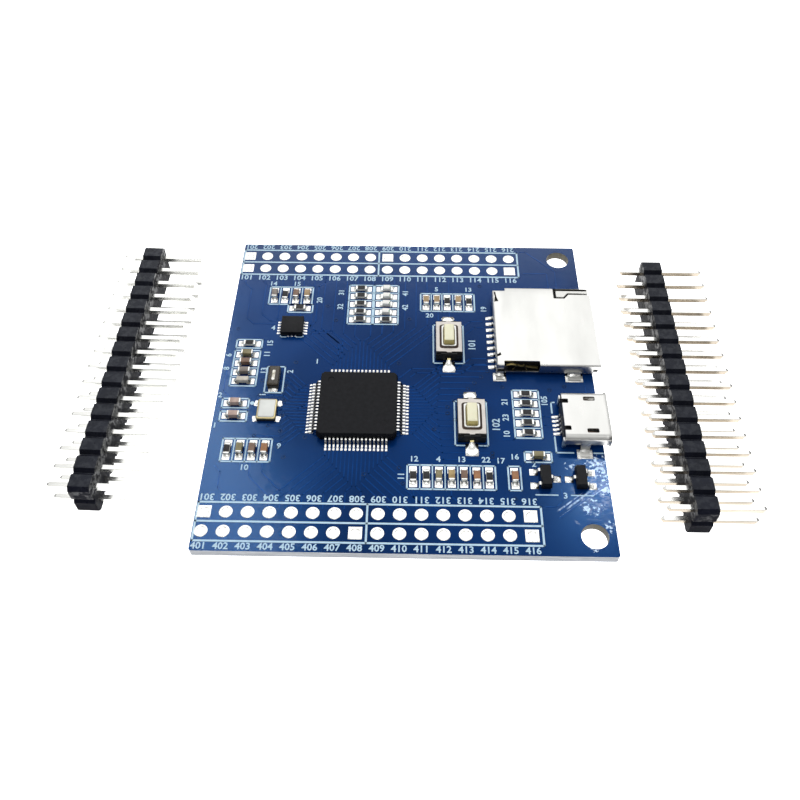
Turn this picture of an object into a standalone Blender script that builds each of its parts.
"""Microcontroller development board with two loose double-row pin header strips.

Metres, +Z up. The origin is the centre of the board outline on its underside.
The board lies flat; its USB and memory card sockets are at the right (+X) end,
front is -Y and back is +Y. A header strip lies on its side beyond each end.

All sizes below are in millimetres. Features are placed from the centre of the four
rows of header holes, which lies 4.35 mm left of the centre of the outline.
Helper solids that cut or join other pieces are kept, hidden, in "cutters".
"""

import math

import bmesh
import bpy
from mathutils import Matrix, Vector

MM = 0.001

# board
BOARD_L, BOARD_W, BOARD_T = 48.9, 50.8, 1.2
BOARD_CORNER_R = 0.3
GRID_X = -4.35
PITCH = 2.54
PINS_PER_ROW = 16
HOLE_ROWS = [steps * PITCH for steps in (9, 8, -8, -9)]
HOLE_D = 1.02
MOUNT_HOLE_D = 3.2
MOUNT_HOLES = ((26.25, 22.8), (26.25, -22.8))
TOP = BOARD_T

# shared by the mounted parts
SIT = 0.02  # gap between the board and what stands on it
LEAD_T = 0.13

# Linear base colour, roughness, metallic
COLOURS = {
    "solder_mask": ((0.012, 0.055, 0.27), 0.22, 0.0),
    "mould": ((0.022, 0.023, 0.026), 0.55, 0.0),
    "tin": ((0.78, 0.78, 0.76), 0.28, 1.0),
    "gold": ((0.80, 0.60, 0.25), 0.3, 1.0),
    "steel": ((0.74, 0.74, 0.72), 0.25, 1.0),
    "ceramic_tan": ((0.42, 0.27, 0.14), 0.5, 0.0),
    "resistor_black": ((0.02, 0.02, 0.022), 0.4, 0.0),
    "led_lens": ((0.9, 0.92, 0.85), 0.2, 0.0),
    "ivory": ((0.82, 0.79, 0.62), 0.4, 0.0),
    "nylon_black": ((0.018, 0.018, 0.02), 0.5, 0.0),
    "white_plastic": ((0.85, 0.85, 0.83), 0.45, 0.0),
    "brass": ((0.70, 0.48, 0.18), 0.3, 1.0),
    "header_black": ((0.015, 0.016, 0.02), 0.45, 0.0),
}


# ---------------------------------------------------------------- scene
for old in list(bpy.data.objects):
    bpy.data.objects.remove(old, do_unlink=True)

parts = bpy.data.collections.new("microcontroller_board")
cutters = bpy.data.collections.new("cutters")
bpy.context.scene.collection.children.link(parts)
bpy.context.scene.collection.children.link(cutters)


def make_material(name, colour, roughness, metallic):
    mat = bpy.data.materials.new(name)
    mat.use_nodes = True
    shader = mat.node_tree.nodes["Principled BSDF"]
    shader.inputs["Base Color"].default_value = (*colour, 1.0)
    shader.inputs["Roughness"].default_value = roughness
    shader.inputs["Metallic"].default_value = metallic
    return mat


MATERIALS = {name: make_material(name, *look) for name, look in COLOURS.items()}


# ---------------------------------------------------------------- building helpers
def new_object(name, mesh, mat, at, tool=False):
    """Put a mesh at a point given in millimetres from the hole grid's centre."""
    x, y, z = at
    mesh.name = name
    ob = bpy.data.objects.new(name, mesh)
    ob.location = Vector(((x + GRID_X) * MM, y * MM, z * MM))
    mesh.materials.clear()
    mesh.materials.append(MATERIALS[mat])
    if tool:
        cutters.objects.link(ob)
        ob.hide_render = True
        ob.display_type = "WIRE"
    else:
        parts.objects.link(ob)
    return ob


def mesh_from(bm, name):
    mesh = bpy.data.meshes.new(name)
    bm.to_mesh(mesh)
    bm.free()
    return mesh


def boxes(name, cuboids, mat="mould", at=(0, 0, 0), tool=True):
    """Separate cuboids in one mesh, each from a low corner to a high corner."""
    bm = bmesh.new()
    for low, high in cuboids:
        size = [(b - a) * MM for a, b in zip(low, high)]
        middle = [(a + b) / 2 * MM for a, b in zip(low, high)]
        bmesh.ops.create_cube(
            bm,
            size=1.0,
            matrix=Matrix.Translation(middle) @ Matrix.Diagonal((*size, 1.0)),
        )
    return new_object(name, mesh_from(bm, name), mat, at, tool)


def box(name, low, high, mat="mould", bevel=0.0):
    """A visible cuboid with its origin at its centre."""
    half = [(b - a) / 2 for a, b in zip(low, high)]
    middle = [(a + b) / 2 for a, b in zip(low, high)]
    ob = boxes(name, [([-h for h in half], half)], mat, middle, tool=False)
    if bevel:
        mod = ob.modifiers.new("edges", "BEVEL")
        mod.width = bevel * MM
        mod.segments = 1
        mod.limit_method = "ANGLE"
    return ob


def slab(size, bottom, top, at=(0, 0)):
    """Corners of a cuboid centred on a point in plan."""
    (length, width), (x, y) = size, at
    return (
        (x - length / 2, y - width / 2, bottom),
        (x + length / 2, y + width / 2, top),
    )


def board_box(name, at, size, bottom, top, mat="mould", bevel=0.0):
    """A box centred on a point in plan, with heights above the board's top."""
    return box(name, *slab(size, TOP + bottom, TOP + top, at), mat, bevel)


def grown(low, high, grow):
    """Corners of a cuboid with every face moved outward."""
    return tuple(a - grow for a in low), tuple(b + grow for b in high)


def curve_mesh(curve, turn=Matrix.Identity(3)):
    """Turn a curve into a closed, outward facing mesh."""
    temp = bpy.data.objects.new(curve.name, curve)
    bpy.context.scene.collection.objects.link(temp)
    bpy.context.view_layer.update()
    graph = bpy.context.evaluated_depsgraph_get()
    mesh = bpy.data.meshes.new_from_object(temp.evaluated_get(graph))
    bpy.data.objects.remove(temp, do_unlink=True)
    bm = bmesh.new()
    bm.from_mesh(mesh)
    bmesh.ops.remove_doubles(bm, verts=bm.verts, dist=1e-7)
    bmesh.ops.recalc_face_normals(bm, faces=bm.faces)
    bmesh.ops.transform(bm, verts=bm.verts, matrix=turn.to_4x4())
    bm.to_mesh(mesh)
    bm.free()
    return mesh


# Turns the thickness of a flat outline from Z to the named axis
AXIS_TURN = {
    "Z": Matrix.Identity(3),
    "X": Matrix(((0, 0, 1), (1, 0, 0), (0, 1, 0))),
    "Y": Matrix(((1, 0, 0), (0, 0, -1), (0, 1, 0))),
}


def prism(
    name, outline, thick, at, mat="mould", axis="Z", holes=(), tool=False, turn=0.0
):
    """An outline given thickness along an axis, centred on at, then turned about Z.

    The outline is (x, y) for axis Z, (y, z) for axis X and (x, z) for axis Y.
    """
    curve = bpy.data.curves.new(name + "_outline", "CURVE")
    curve.dimensions = "2D"
    curve.fill_mode = "BOTH"
    curve.extrude = thick / 2 * MM
    curve.render_resolution_u = 0
    for loop in (outline, *holes):
        spline = curve.splines.new("POLY")
        spline.points.add(len(loop) - 1)
        for point, (across, up) in zip(spline.points, loop):
            point.co = (across * MM, up * MM, 0.0, 1.0)
        spline.use_cyclic_u = True
    mesh = curve_mesh(curve, Matrix.Rotation(turn, 3, "Z") @ AXIS_TURN[axis])
    return new_object(name, mesh, mat, at, tool)


def boolean(ob, tool, operation):
    mod = ob.modifiers.new(operation.lower(), "BOOLEAN")
    mod.operation = operation
    mod.solver = "EXACT"
    mod.object = tool


def join(ob, tool):
    boolean(ob, tool, "UNION")


def cut(ob, tool):
    boolean(ob, tool, "DIFFERENCE")


# ---------------------------------------------------------------- outlines
def circle(x, y, diameter, count):
    angles = [2 * math.pi * i / count for i in range(count)]
    return [
        (x + diameter / 2 * math.cos(a), y + diameter / 2 * math.sin(a)) for a in angles
    ]


def square(half):
    return [(-half, -half), (half, -half), (half, half), (-half, half)]


def rounded(length, width, radius, steps=3):
    """A centred rectangle with rounded corners."""
    corner_x, corner_y = length / 2 - radius, width / 2 - radius
    points = []
    for quarter, (x_sign, y_sign) in enumerate(((1, 1), (-1, 1), (-1, -1), (1, -1))):
        for i in range(steps + 1):
            angle = math.pi / 2 * (quarter + i / steps)
            points.append(
                (
                    x_sign * corner_x + radius * math.cos(angle),
                    y_sign * corner_y + radius * math.sin(angle),
                )
            )
    return points


def toothed_square(half, reach, width, sides):
    """A square with square teeth at the places given for its -Y, +X, +Y and -X sides."""
    points = []
    for quarter, places in enumerate(sides):
        angle = quarter * math.pi / 2
        cosine, sine = round(math.cos(angle)), round(math.sin(angle))
        loop = [(-half, -half)]
        for middle in places:
            left, right = middle - width / 2, middle + width / 2
            loop += [(left, -half), (left, -reach), (right, -reach), (right, -half)]
        points += [(x * cosine - y * sine, x * sine + y * cosine) for x, y in loop]
    return points


# ---------------------------------------------------------------- board
columns = [(i - (PINS_PER_ROW - 1) / 2) * PITCH for i in range(PINS_PER_ROW)]
board_holes = [circle(x + GRID_X, y, HOLE_D, 8) for y in HOLE_ROWS for x in columns]
board_holes += [circle(x + GRID_X, y, MOUNT_HOLE_D, 24) for x, y in MOUNT_HOLES]
prism(
    "pcb",
    rounded(BOARD_L, BOARD_W, BOARD_CORNER_R),
    BOARD_T,
    (-GRID_X, 0.0, BOARD_T / 2),
    "solder_mask",
    holes=board_holes,
)


# ---------------------------------------------------------------- bent leads
def gull_lead(name, shape, width, at, turn, grow=0.0):
    """A helper lead: level out of the body, down, then level on the board.

    The shape is the inner end, the bend and the toe, all outward from at, and the
    height of the underside of the upper level. The lead points +X before its turn.
    """
    inner, bend, toe, high = shape
    foot_top = SIT + LEAD_T
    profile = [
        (inner - grow, high + LEAD_T + grow),
        (bend + 0.10 + grow, high + LEAD_T + grow),
        (bend + 0.34 + grow, foot_top + grow),
        (toe + grow, foot_top + grow),
        (toe + grow, SIT - grow),
        (bend + 0.25 - grow, SIT - grow),
        (bend - grow, high - grow),
        (inner - grow, high - grow),
    ]
    return prism(
        name, profile, width + 2 * grow, at, "tin", axis="Y", tool=True, turn=turn
    )


# ---------------------------------------------------------------- controller
# A 64 lead quad flat package
MCU_AT = (-1.77, -5.07)
MCU_BODY, MCU_SPAN, MCU_TOP, MCU_STANDOFF = 10.0, 12.0, 1.50, 0.10
MCU_CORNER_CUT = 0.38
MCU_PITCH, MCU_LEADS_SIDE, MCU_LEAD_W = 0.5, 16, 0.22
MCU_LEAD_SHAPE = (4.35, MCU_BODY / 2 + 0.28, MCU_SPAN / 2, 0.70)
MCU_FRAME_OUTER, MCU_FRAME_INNER, MCU_FRAME_T = 4.6, 4.1, 0.26  # half sides, thickness
MCU_SPACE_INNER, MCU_SPACE_T = 4.05, 0.30
MCU_FRAME_AT = (*MCU_AT, TOP + 0.765)


def mcu_leadframe():
    """A square ring inside the body that holds all four rows of leads."""
    x, y = MCU_AT
    ring = prism(
        "mcu_leadframe",
        square(MCU_FRAME_OUTER),
        MCU_FRAME_T,
        MCU_FRAME_AT,
        "tin",
        holes=[square(MCU_FRAME_INNER)],
    )
    first_lead = (MCU_LEADS_SIDE - 1) / 2 * MCU_PITCH
    for side in range(4):
        turn = side * math.pi / 2
        at = (x + math.sin(turn) * first_lead, y - math.cos(turn) * first_lead, TOP)
        legs = gull_lead(
            f"mcu_leadframe_legs_{side}", MCU_LEAD_SHAPE, MCU_LEAD_W, at, turn
        )
        row = legs.modifiers.new("row", "ARRAY")
        row.count = MCU_LEADS_SIDE
        row.use_relative_offset = False
        row.use_constant_offset = True
        row.constant_offset_displace = (
            -math.sin(turn) * MCU_PITCH * MM,
            math.cos(turn) * MCU_PITCH * MM,
            0.0,
        )
        join(ring, legs)


def mcu_body():
    half = MCU_BODY / 2
    short = half - MCU_CORNER_CUT
    body = prism(
        "mcu_body",
        [
            (-short, -half), (short, -half), (half, -short), (half, short),
            (short, half), (-short, half), (-half, short), (-half, -short),
        ],
        MCU_TOP - MCU_STANDOFF,
        (*MCU_AT, TOP + (MCU_TOP + MCU_STANDOFF) / 2),
    )
    # The groove round the body clears the leads, so the two solids do not overlap
    groove = prism(
        "mcu_lead_space",
        square(MCU_SPAN / 2),
        MCU_SPACE_T,
        MCU_FRAME_AT,
        holes=[square(MCU_SPACE_INNER)],
        tool=True,
    )
    cut(body, groove)


mcu_leadframe()
mcu_body()


# ---------------------------------------------------------------- motion sensor
SENSOR_AT = (-11.45, 8.65)
SENSOR_SIDE, SENSOR_H = 3.0, 0.85
SENSOR_FRAME_HALF, SENSOR_LEAD_REACH, SENSOR_LEAD_W = 1.35, 1.9, 0.28
FIVE_LEADS, THREE_LEADS = (-1.0, -0.5, 0.0, 0.5, 1.0), (-0.5, 0.0, 0.5)

prism(
    "sensor_leadframe",
    toothed_square(
        SENSOR_FRAME_HALF,
        SENSOR_LEAD_REACH,
        SENSOR_LEAD_W,
        (THREE_LEADS, FIVE_LEADS, THREE_LEADS, FIVE_LEADS),
    ),
    LEAD_T,
    (*SENSOR_AT, TOP + SIT + LEAD_T / 2),
    "tin",
)
board_box(
    "sensor_body",
    SENSOR_AT,
    (SENSOR_SIDE, SENSOR_SIDE),
    SIT + LEAD_T + 0.02,
    SENSOR_H,
    bevel=0.04,
)


# ---------------------------------------------------------------- three lead parts
SOT_BODY = (1.3, 2.9)
SOT_BOTTOM, SOT_TOP = 0.1, 1.2
SOT_BAR, SOT_BAR_Z = (0.7, 2.5), (0.47, 0.77)  # bar inside the body, joins the leads
SOT_LEAD_SHAPE, SOT_LEAD_W = (0.1, 0.78, 1.28, 0.55), 0.4
SOT_LEADS = ((-0.95, math.pi), (0.95, math.pi), (0.0, 0.0))  # y, turn
SOT_CLEARANCE = 0.02
REGULATOR_AT, SHUNT_AT = (21.2, -15.2), (25.4, -15.2)


def sot_leads(name, at, turn, grow=0.0):
    bar = boxes(
        name,
        [grown(*slab(SOT_BAR, *(TOP + z for z in SOT_BAR_Z)), grow)],
        "tin",
        (*at, 0),
        tool=grow > 0,
    )
    for i, (y, lead_turn) in enumerate(SOT_LEADS):
        lead_at = (at[0], at[1] + y, TOP)
        lead = gull_lead(
            f"{name}_{i}", SOT_LEAD_SHAPE, SOT_LEAD_W, lead_at, lead_turn + turn, grow
        )
        join(bar, lead)
    return bar


def three_lead(name, at, turn):
    """A moulded body with two leads on its -X side and one on +X, before its turn."""
    sot_leads(f"{name}_leads", at, turn)
    body = board_box(f"{name}_body", at, SOT_BODY, SOT_BOTTOM, SOT_TOP)
    cut(body, sot_leads(f"{name}_lead_space", at, turn, SOT_CLEARANCE))


three_lead("regulator", REGULATOR_AT, 0.0)
three_lead("shunt_reference", SHUNT_AT, math.pi)


# ---------------------------------------------------------------- chip parts
CHIP_L, CHIP_W = 1.6, 0.8
CAP, RES, LED = 0.80, 0.45, 0.62  # heights of capacitors, resistors and LEDs
LAND_T, LAND_W = 0.05, 0.4
LAND_END = 0.1  # how far a land runs past the outermost chip centres
LED_X, LED_RESISTOR_X = 1.3, -2.3
LED_ROWS = (16.3, 14.8, 13.3, 11.75)
LAST_RESISTOR_Y = 10.3


def chip_box(x, y, along_y, height):
    size = (CHIP_W, CHIP_L) if along_y else (CHIP_L, CHIP_W)
    return slab(size, TOP + SIT + 0.01, TOP + SIT + height, (x, y))


def single(name, x, y, along_y, height, mat):
    box(name, *chip_box(x, y, along_y, height), mat, bevel=0.03)


def bank(name, chips, along_y, mat, lands):
    """Chip parts (x, y, height) joined by thin lands (x0, y0, x1, y1)."""
    cuboids = [
        ((x0, y0, TOP + SIT), (x1, y1, TOP + SIT + LAND_T)) for x0, y0, x1, y1 in lands
    ]
    body = boxes(name, cuboids[:1], mat, tool=False)
    for i, land in enumerate(cuboids[1:]):
        join(body, boxes(f"{name}_land_{i}", [land], mat))
    chip_cuboids = [chip_box(x, y, along_y, height) for x, y, height in chips]
    join(body, boxes(f"{name}_chips", chip_cuboids, mat))


def column_bank(name, x, ys, heights, mat):
    """Chips lying along X, one behind another."""
    land = (x - LAND_W / 2, min(ys) - LAND_END, x + LAND_W / 2, max(ys) + LAND_END)
    bank(name, [(x, y, h) for y, h in zip(ys, heights)], False, mat, [land])


def row_bank(name, y, xs, heights, mat):
    """Chips lying along Y, side by side."""
    land = (min(xs) - LAND_END, y - LAND_W / 2, max(xs) + LAND_END, y + LAND_W / 2)
    bank(name, [(x, y, h) for x, h in zip(xs, heights)], True, mat, [land])


# name, y, chip xs, chip heights
for name, y, xs, heights in (
    ("filter_bank", 14.8, (-14.55, -13.05, -11.5, -9.95), (CAP, RES, CAP, CAP)),
    ("core_bank", -11.65, (-17.6, -16.05, -14.5, -13.0), (RES, CAP, CAP, CAP)),
    ("header_bank", 13.85, (6.9, 8.4, 9.9, 11.45, 12.95), (CAP, CAP, RES, CAP, RES)),
    (
        "power_bank", -15.15, (5.35, 6.9, 8.4, 9.95, 11.45, 13.0, 14.5),
        (RES, RES, CAP, CAP, CAP, CAP, RES),
    ),
):
    row_bank(name, y, xs, heights, "ceramic_tan")

# name, x, chip ys, chip height, material
for name, x, ys, height, mat in (
    ("supply_capacitors", -17.05, (3.7, 2.2, 0.65, -0.85), CAP, "ceramic_tan"),
    ("crystal_capacitors", -17.55, (-4.45, -6.5), CAP, "ceramic_tan"),
    ("card_resistors", 19.7, (-2.45, -3.95, -5.45, -6.95, -8.5), RES, "resistor_black"),
):
    column_bank(name, x, ys, (height,) * len(ys), mat)

# A column of five resistors with a sixth beside its front end
bank(
    "led_resistors",
    [(LED_RESISTOR_X, y, RES) for y in (*LED_ROWS, LAST_RESISTOR_Y)]
    + [(LED_X, LAST_RESISTOR_Y, RES)],
    False,
    "resistor_black",
    [(-2.5, 10.2, -2.1, 16.4), (-2.35, 10.1, 1.4, 10.5)],
)
for i, y in enumerate(LED_ROWS):
    single(f"led_{i + 1}", LED_X, y, False, LED, "led_lens")

single("sensor_resistor", -10.75, 12.35, False, RES, "resistor_black")
single("reset_resistor", -17.0, 5.65, False, RES, "resistor_black")
single("usb_capacitor", 20.6, -12.05, False, CAP, "ceramic_tan")
single("regulator_capacitor", 17.55, -15.15, True, CAP, "ceramic_tan")


# ---------------------------------------------------------------- crystals
def crystal(name, at, size, height, base_top, base_mat, rim):
    """A flat base under a steel lid set in by the rim."""
    lid_size = [side - 2 * rim for side in size]
    board_box(f"{name}_base", at, size, SIT, base_top, base_mat)
    board_box(f"{name}_lid", at, lid_size, base_top + 0.02, height, "steel", bevel=0.05)


crystal(
    "crystal", (-13.33, -5.65), (2.5, 3.2),
    height=0.72, base_top=0.45, base_mat="gold", rim=0.16,
)
crystal(
    "clock_crystal", (-12.97, -0.5), (1.5, 3.2),
    height=1.05, base_top=0.80, base_mat="mould", rim=0.10,
)


# ---------------------------------------------------------------- push buttons
# Plan sizes are (x, y); heights are above the board's top
USR_AT, RST_AT = (9.93, 6.12), (12.55, -7.07)
KEY_BASE, KEY_BASE_Z = (3.5, 6.0), (0.05, 1.42)
KEY_WELL, KEY_WELL_Z = (2.5, 4.1), (0.35, 3.0)
KEY_LEAD_W, KEY_LEAD_Y, KEY_LEAD_TOP = 0.7, (2.0, 4.35), 0.22
KEY_SLOT_W, KEY_SLOT_Y, KEY_SLOT_Z = 0.74, (1.98, 3.6), (-0.3, 0.24)
KEY_DOME_R, KEY_DOME_TOP_R, KEY_DOME_H, KEY_DOME_Z = 1.12, 0.40, 0.26, 0.37
KEY_STEM, KEY_STEM_Z = (1.4, 2.9), (1.0, 2.5)
KEY_FLANGE, KEY_FLANGE_Z = (2.2, 3.8), (0.66, 1.38)
KEY_COVER = (3.45, 5.34)
KEY_BOSS, KEY_BOSS_R, KEY_BOSS_H = (2.4, 4.1), 0.35, 0.25
KEY_WINDOW_GAP, KEY_WINDOW_Z = 0.05, (1.0, 2.2)


def key_base(name, at):
    """The plastic base with a well on top and a slot for each lead."""
    base = board_box(f"{name}_base", at, KEY_BASE, *KEY_BASE_Z, "nylon_black")
    on_board = (*at, TOP)
    near, far = KEY_SLOT_Y
    half = KEY_SLOT_W / 2
    bottom, top = KEY_SLOT_Z
    slots = [
        ((-half, y0, bottom), (half, y1, top)) for y0, y1 in ((-far, -near), (near, far))
    ]
    cut(base, boxes(f"{name}_well", [slab(KEY_WELL, *KEY_WELL_Z)], at=on_board))
    cut(base, boxes(f"{name}_lead_slots", slots, at=on_board))


def key_leads(name, at):
    near, far = KEY_LEAD_Y
    for end, sign in (("front", -1), ("back", 1)):
        centre = (at[0], at[1] + sign * (near + far) / 2)
        size = (KEY_LEAD_W, far - near)
        board_box(f"{name}_{end}_lead", centre, size, SIT, KEY_LEAD_TOP, "brass")


def key_dome(name, at):
    """The spring dome in the bottom of the well."""
    bm = bmesh.new()
    bmesh.ops.create_cone(
        bm,
        cap_ends=True,
        segments=16,
        radius1=KEY_DOME_R * MM,
        radius2=KEY_DOME_TOP_R * MM,
        depth=KEY_DOME_H * MM,
    )
    mesh = mesh_from(bm, f"{name}_dome")
    new_object(f"{name}_dome", mesh, "steel", (*at, TOP + KEY_DOME_Z + KEY_DOME_H / 2))


def key_plunger(name, at):
    """The stem, with a wider flange held under the cover."""
    plunger = board_box(f"{name}_plunger", at, KEY_STEM, *KEY_STEM_Z, "ivory", bevel=0.08)
    flange = slab(KEY_FLANGE, *KEY_FLANGE_Z)
    join(plunger, boxes(f"{name}_flange", [flange], "ivory", (*at, TOP)))


def key_cover(name, at):
    """The steel cover, with a raised boss and a window for the stem."""
    base_top = KEY_BASE_Z[1]
    cover = board_box(
        f"{name}_cover", at, KEY_COVER, base_top + 0.02, base_top + 0.16, "steel"
    )
    boss = prism(
        f"{name}_boss",
        rounded(*KEY_BOSS, KEY_BOSS_R),
        KEY_BOSS_H,
        (*at, TOP + base_top + 0.225),
        "steel",
        tool=True,
    )
    window = [side + 2 * KEY_WINDOW_GAP for side in KEY_STEM]
    join(cover, boss)
    cut(cover, boxes(f"{name}_window", [slab(window, *KEY_WINDOW_Z)], at=(*at, TOP)))


for name, at in (("usr", USR_AT), ("rst", RST_AT)):
    for make_piece in (key_base, key_leads, key_dome, key_plunger, key_cover):
        make_piece(name, at)


# ---------------------------------------------------------------- micro USB socket
# The mouth opens toward +X
USB_Y, USB_REAR_X, USB_MOUTH_X = -7.25, 23.8, 29.35
USB_HALF_W, USB_TOP, USB_WALL = 3.65, 2.5, 0.25
USB_LIP_GROW, USB_LIP_T = 0.22, 0.3
USB_TAB_X, USB_TAB_L = 26.3, 1.3
USB_TAIL_PITCH, USB_TAILS, USB_TAIL_X, USB_TAIL_W = 0.65, 5, 24.1, 0.30
USB_TAIL_SHAPE = (-0.15, 0.60, 1.12, 0.70)
USB_BAR = ((24.0, -1.6, 0.62), (24.35, 1.6, 0.92))
USB_AT = (0, USB_Y, TOP)

# Section of the front mounting tab, (distance from the middle, height)
USB_TAB = ((3.46, 1.7), (3.60, 1.7), (3.84, 0.24), (4.85, 0.24), (4.85, SIT), (3.64, SIT))

# Slots through the shell's top, one each side: x0, x1, near and far from the middle
USB_SLOTS = ((26.45, 27.9, 2.12, 2.76), (23.0, 24.55, 1.74, 2.4))


def usb_outline(grow):
    """Socket section seen from the mouth: rounded top, sides drawn in below."""
    half_w, top, radius = USB_HALF_W + grow, USB_TOP + grow, 0.75 + grow
    half = [(2.75 + grow, 0.30 - grow), (half_w, 1.15 - grow * 0.4)]
    for i in range(5):
        angle = math.pi / 2 * i / 4
        half.append(
            (
                half_w - radius + radius * math.cos(angle),
                top - radius + radius * math.sin(angle),
            )
        )
    return half + [(-across, up) for across, up in reversed(half)]


def usb_shell():
    shell = prism(
        "usb_shell",
        usb_outline(0),
        USB_MOUTH_X - USB_REAR_X,
        ((USB_REAR_X + USB_MOUTH_X) / 2, USB_Y, TOP),
        "steel",
        axis="X",
        holes=[usb_outline(-USB_WALL)],
    )
    lip = prism(
        "usb_lip",
        usb_outline(USB_LIP_GROW),
        USB_LIP_T,
        (USB_MOUTH_X - 0.13, USB_Y, TOP),
        "steel",
        axis="X",
        holes=[usb_outline(-USB_WALL * 0.6)],
        tool=True,
    )
    join(shell, lip)
    for side, sign in (("front", -1), ("back", 1)):
        tab = prism(
            f"usb_tab_{side}",
            [(sign * across, up) for across, up in USB_TAB],
            USB_TAB_L,
            (USB_TAB_X, USB_Y, TOP),
            "steel",
            axis="X",
            tool=True,
        )
        join(shell, tab)
    slots = [
        ((x0, y0, 2.0), (x1, y1, 3.0))
        for x0, x1, near, far in USB_SLOTS
        for y0, y1 in ((near, far), (-far, -near))
    ]
    cut(shell, boxes("usb_slots", slots, at=USB_AT))


def usb_tails(name, grow=0.0):
    """Five contact tails pointing -X, held by a bar."""
    bar = boxes(name, [grown(*USB_BAR, grow)], "tin", USB_AT, tool=grow > 0)
    for i in range(USB_TAILS):
        at = (USB_TAIL_X, USB_Y + (i - 2) * USB_TAIL_PITCH, TOP)
        join(bar, gull_lead(f"{name}_{i}", USB_TAIL_SHAPE, USB_TAIL_W, at, math.pi, grow))
    return bar


def usb_insulator():
    """The plastic plug in the rear of the shell, with its tongue."""
    insulator = prism(
        "usb_insulator",
        usb_outline(-USB_WALL - 0.03),
        1.2,
        (24.35, USB_Y, TOP),
        "nylon_black",
        axis="X",
    )
    tongue = boxes("usb_tongue", [((24.6, -1.9, 1.25), (28.6, 1.9, 1.75))], at=USB_AT)
    join(insulator, tongue)
    cut(insulator, usb_tails("usb_contact_space", 0.02))


usb_shell()
usb_tails("usb_contacts")
usb_insulator()


# ---------------------------------------------------------------- memory card socket
# The mouth opens toward +X; the left back corner of the cover is stepped in
CARD_LEFT, CARD_RIGHT, CARD_FRONT, CARD_BACK = 16.1, 29.6, 0.95, 15.05
CARD_STEP_X, CARD_STEP_BACK = 17.85, CARD_BACK - 0.5
CARD_TOP, CARD_BOTTOM, CARD_WALL = 1.95, 0.42, 0.15
CARD_PITCH, CARD_CONTACTS, CARD_FIRST_Y = 1.1, 9, 2.10
CARD_TAIL_END, CARD_TAIL_W = 15.35, 0.4
CARD_SPINE_X, CARD_SPINE_END = (19.6, 20.2), 0.3
CARD_AT = (0, 0, TOP)

# Window in the right back corner of the cover, (x, y)
CARD_CORNER_WINDOW = (
    (31.0, CARD_BACK - 1.2), (31.0, CARD_BACK - 0.13), (24.6, CARD_BACK - 0.13),
    (24.6, CARD_BACK - 1.95), (26.0, CARD_BACK - 1.95), (26.6, CARD_BACK - 1.2),
)

# Section of a mounting tab, (distance out from the cover's edge, height)
CARD_TAB = ((-0.12, 0.7), (0.04, 0.7), (0.06, 0.17), (1.0, 0.17), (1.0, SIT), (-0.12, SIT))

# Mounting tabs: name, x0, x1, outward direction along Y, y of the edge
CARD_TABS = (
    ("card_tab_1", 15.95, 17.0, -1, CARD_FRONT),
    ("card_tab_2", 25.3, 27.2, -1, CARD_FRONT),
    ("card_tab_3", 23.2, 24.4, 1, CARD_BACK),
)

# Pieces joined to the housing: name, cuboids as low and high corners
CARD_HOUSING_PIECES = (
    (
        "card_rails",
        [((16.37, 1.75, 0.30), (28.85, 2.3, 1.72)), ((17.3, 12.35, 0.31), (28.4, 12.65, 1.60))],
    ),
    ("card_stop", [((16.36, 2.0, 0.29), (17.25, 14.25, 1.70))]),
    ("card_floor", [((18.1, 14.0, 0.07), (28.85, 14.8, 0.40))]),
)

# Raised part of the slider, (x, y)
CARD_SLIDER_HEAD = (
    (24.88, 13.48), (26.0, 13.48), (26.6, 14.22), (29.4, 14.22), (29.4, 14.75), (24.88, 14.75),
)


def card_cover():
    cover = prism(
        "card_cover",
        [
            (CARD_LEFT, CARD_FRONT), (CARD_RIGHT, CARD_FRONT), (CARD_RIGHT, CARD_BACK),
            (CARD_STEP_X, CARD_BACK), (CARD_STEP_X, CARD_STEP_BACK),
            (CARD_LEFT, CARD_STEP_BACK),
        ],
        CARD_TOP - CARD_BOTTOM,
        (0, 0, TOP + (CARD_TOP + CARD_BOTTOM) / 2),
        "steel",
    )
    # Two overlapping spaces hollow the stepped plan, open below and at the mouth
    front = CARD_FRONT + CARD_WALL
    for i, (left, back) in enumerate(
        ((CARD_LEFT, CARD_STEP_BACK), (CARD_STEP_X, CARD_BACK))
    ):
        low = (left + CARD_WALL, front, -1.0)
        high = (CARD_RIGHT + 1.0, back - CARD_WALL, CARD_TOP - CARD_WALL)
        cut(cover, boxes(f"card_space_{i}", [(low, high)], at=CARD_AT))
    corner = prism(
        "card_corner_window", CARD_CORNER_WINDOW, 1.0, (0, 0, TOP + CARD_TOP), tool=True
    )
    cut(cover, corner)
    cut(cover, boxes("card_window", [((17.05, 0.2, 1.15), (21.7, 1.69, 3.0))], at=CARD_AT))
    for name, x0, x1, sign, edge in CARD_TABS:
        profile = [(sign * out, up) for out, up in CARD_TAB]
        at = ((x0 + x1) / 2, edge, TOP)
        join(cover, prism(name, profile, x1 - x0, at, "steel", axis="X", tool=True))


def contact_comb(name, bottom, top, grow=0.0):
    """Nine contact tails side by side, held by one spine under the card."""
    ys = [CARD_FIRST_Y + i * CARD_PITCH for i in range(CARD_CONTACTS)]
    left, right = CARD_SPINE_X[0] - grow, CARD_SPINE_X[1] + grow
    front, back = ys[0] - CARD_SPINE_END - grow, ys[-1] + CARD_SPINE_END + grow
    end, half = CARD_TAIL_END - grow, CARD_TAIL_W / 2 + grow
    points = [(right, back), (left, back)]
    for y in reversed(ys):
        points += [(left, y + half), (end, y + half), (end, y - half), (left, y - half)]
    points += [(left, front), (right, front)]
    at = (0, 0, TOP + (bottom + top) / 2)
    return prism(name, points, top - bottom, at, "tin", tool=grow > 0)


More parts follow.
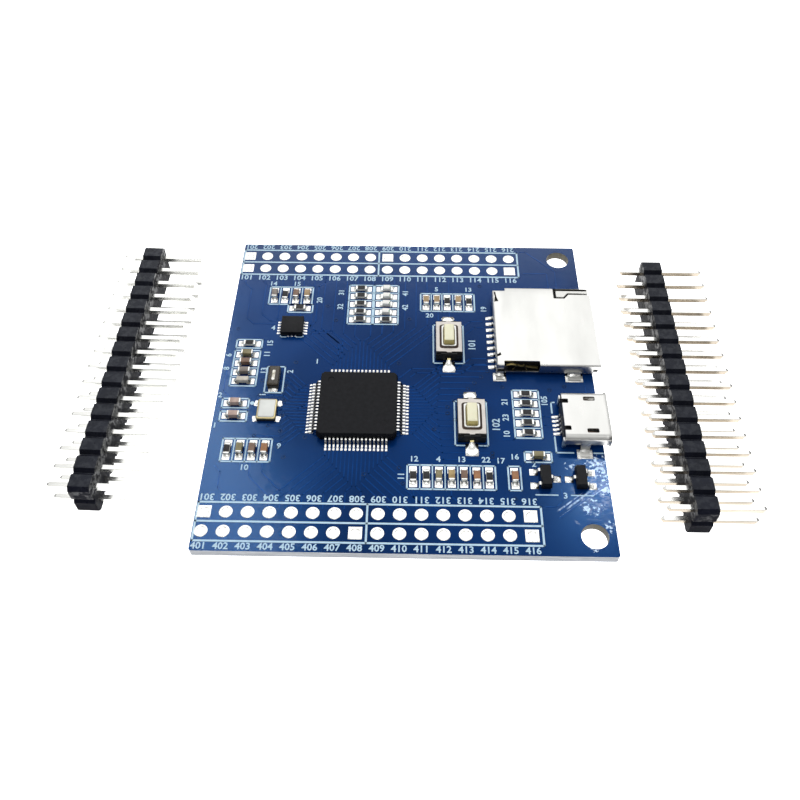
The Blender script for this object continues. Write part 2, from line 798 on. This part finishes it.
def card_housing():
    low, high = (16.35, 1.3, TOP + 0.05), (28.9, 14.3, TOP + 0.42)
    housing = box("card_housing", low, high, "nylon_black")
    for name, cuboids in CARD_HOUSING_PIECES:
        join(housing, boxes(name, cuboids, at=CARD_AT))
    cut(housing, contact_comb("card_contact_space", -0.3, 0.21, grow=0.03))


def card_slider():
    low, high = (22.7, 12.75, TOP + 0.48), (29.4, 14.75, TOP + 1.3)
    slider = box("card_slider", low, high, "white_plastic")
    head_at = (0, 0, TOP + 1.48)
    join(slider, prism("card_slider_head", CARD_SLIDER_HEAD, 0.56, head_at, tool=True))


def card_spring():
    """A wire coil along X."""
    turns, points_per_turn, radius, wire_radius = 8, 8, 0.40, 0.07
    left, right = 17.45, 22.55
    curve = bpy.data.curves.new("card_spring_wire", "CURVE")
    curve.dimensions = "3D"
    curve.fill_mode = "FULL"
    curve.bevel_depth = wire_radius * MM
    curve.bevel_resolution = 0
    curve.use_fill_caps = True
    curve.render_resolution_u = 0
    spline = curve.splines.new("POLY")
    steps = turns * points_per_turn
    spline.points.add(steps)
    for i, point in enumerate(spline.points):
        angle = 2 * math.pi * i / points_per_turn
        point.co = (
            (right - left) * i / steps * MM,
            radius * math.cos(angle) * MM,
            radius * math.sin(angle) * MM,
            1.0,
        )
    new_object("card_spring", curve_mesh(curve), "steel", (left, 13.7, TOP + 1.0))


card_cover()
card_housing()
contact_comb("card_contacts", SIT, 0.18)
card_slider()
card_spring()
box("card_cam_pin", (20.4, 13.02, TOP + 1.5), (22.9, 13.14, TOP + 1.62), "steel")
box("card_detect_spring", (17.4, 1.36, TOP + 0.75), (21.5, 1.5, TOP + 1.25), "brass")


# ---------------------------------------------------------------- header strips
# Two rows of pins through a notched block, lying on its side with the pins along X
STRIP_T, STRIP_H, STRIP_L = PITCH, 2 * PITCH, PINS_PER_ROW * PITCH
PIN_SQ = 0.64
PIN_SHORT, PIN_LONG = 3.0, 5.85  # reach beyond the block on its -X and +X sides
PIN_WEB = (0.15, 19.3, 1.45)  # half sizes of the plate joining the pins in the block
PIN_CLEARANCE = 0.01
NOTCH_W = 0.92
RIGHT_STRIP_AT, LEFT_STRIP_AT = (38.42, -1.37), (-32.38, 0.27)
LEFT_STRIP_TURN = math.radians(-1.4)


def strip_pins(name, at, turn, grow=0.0):
    middle = (*at, STRIP_H / 2)
    web_cuboid = grown([-half for half in PIN_WEB], PIN_WEB, grow)
    web = boxes(name, [web_cuboid], "tin", middle, tool=grow > 0)
    half = PIN_SQ / 2
    left, right = -STRIP_T / 2 - PIN_SHORT, STRIP_T / 2 + PIN_LONG
    cuboids = [
        grown((left, y - half, z - half), (right, y + half, z + half), grow)
        for y in columns
        for z in (-PITCH / 2, PITCH / 2)
    ]
    posts = boxes(name + "_posts", cuboids, "tin", middle)
    join(web, posts)
    for ob in (web, posts):
        ob.rotation_euler.z = turn
    return web


def strip_notches(name, at):
    """Square bars on edge, between pins on both long faces and once at each end."""
    half_l, half_h = STRIP_L / 2, STRIP_H / 2
    side = NOTCH_W / math.sqrt(2)
    valleys = [
        (i * PITCH - half_l, z) for i in range(PINS_PER_ROW + 1) for z in (-half_h, half_h)
    ]
    valleys += [(-half_l, 0.0), (half_l, 0.0)]
    bm = bmesh.new()
    for y, z in valleys:
        bmesh.ops.create_cube(
            bm,
            size=1.0,
            matrix=Matrix.Translation((0, y * MM, z * MM))
            @ Matrix.Rotation(math.pi / 4, 4, "X")
            @ Matrix.Diagonal((2 * STRIP_T * MM, side * MM, side * MM, 1.0)),
        )
    return new_object(name, mesh_from(bm, name), "header_black", (*at, half_h), tool=True)


def strip(name, at, turn):
    corners = slab((STRIP_T, STRIP_L), 0.0, STRIP_H, at)
    block = box(f"{name}_block", *corners, "header_black")
    notches = strip_notches(f"{name}_notches", at)
    for ob in (block, notches):
        ob.rotation_euler.z = turn
    strip_pins(f"{name}_pins", at, turn)
    cut(block, notches)
    cut(block, strip_pins(f"{name}_pin_space", at, turn, PIN_CLEARANCE))


strip("right_header", RIGHT_STRIP_AT, 0.0)
strip("left_header", LEFT_STRIP_AT, LEFT_STRIP_TURN)

bpy.context.view_layer.update()
